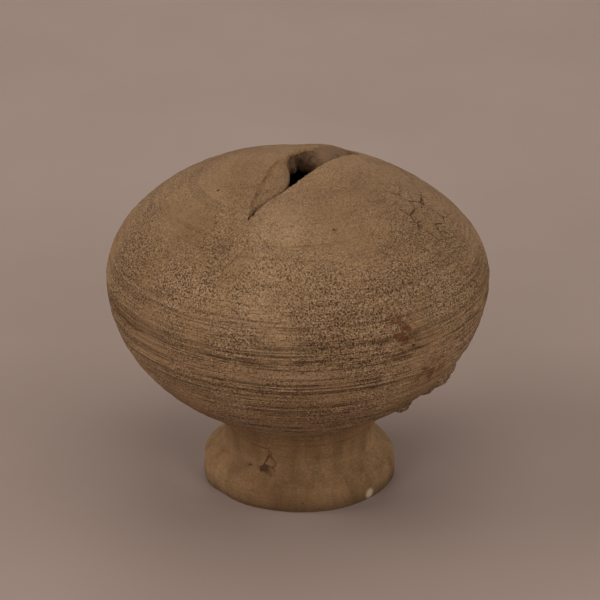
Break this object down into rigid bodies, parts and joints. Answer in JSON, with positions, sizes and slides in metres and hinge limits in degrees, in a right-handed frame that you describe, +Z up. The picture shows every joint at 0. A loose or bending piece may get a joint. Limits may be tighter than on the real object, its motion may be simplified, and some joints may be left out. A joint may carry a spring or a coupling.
{
  "type": "money box",
  "caption": "Hollow thrown earthenware money box, an egg-shaped body on a flared pedestal foot, with a coin slot cut across its crown",
  "frame": {"origin": "centre of the foot's standing ring, on the surface the money box rests on", "axes": "+Z up through the crown, +X along the coin slot, +Y across it towards the raised lip"},
  "size_m": [0.09, 0.09, 0.0802],
  "materials": {
    "body_clay": "matte unglazed, gritty, with turning lines",
    "foot_clay": "matte unglazed, wiped smooth",
    "slip": "matte, rough, darker where it cracked",
    "stray_clay": "matte, rough and crumbly"
  },
  "bodies": {
    "root": {"dome": "body_clay", "bowl": "body_clay", "seam_slip": "slip", "foot": "foot_clay", "foot_slip": "slip", "neck_coil": "foot_clay", "clay_lump_large": "stray_clay", "clay_lump_small": "stray_clay"}
  },
  "joints": []
}
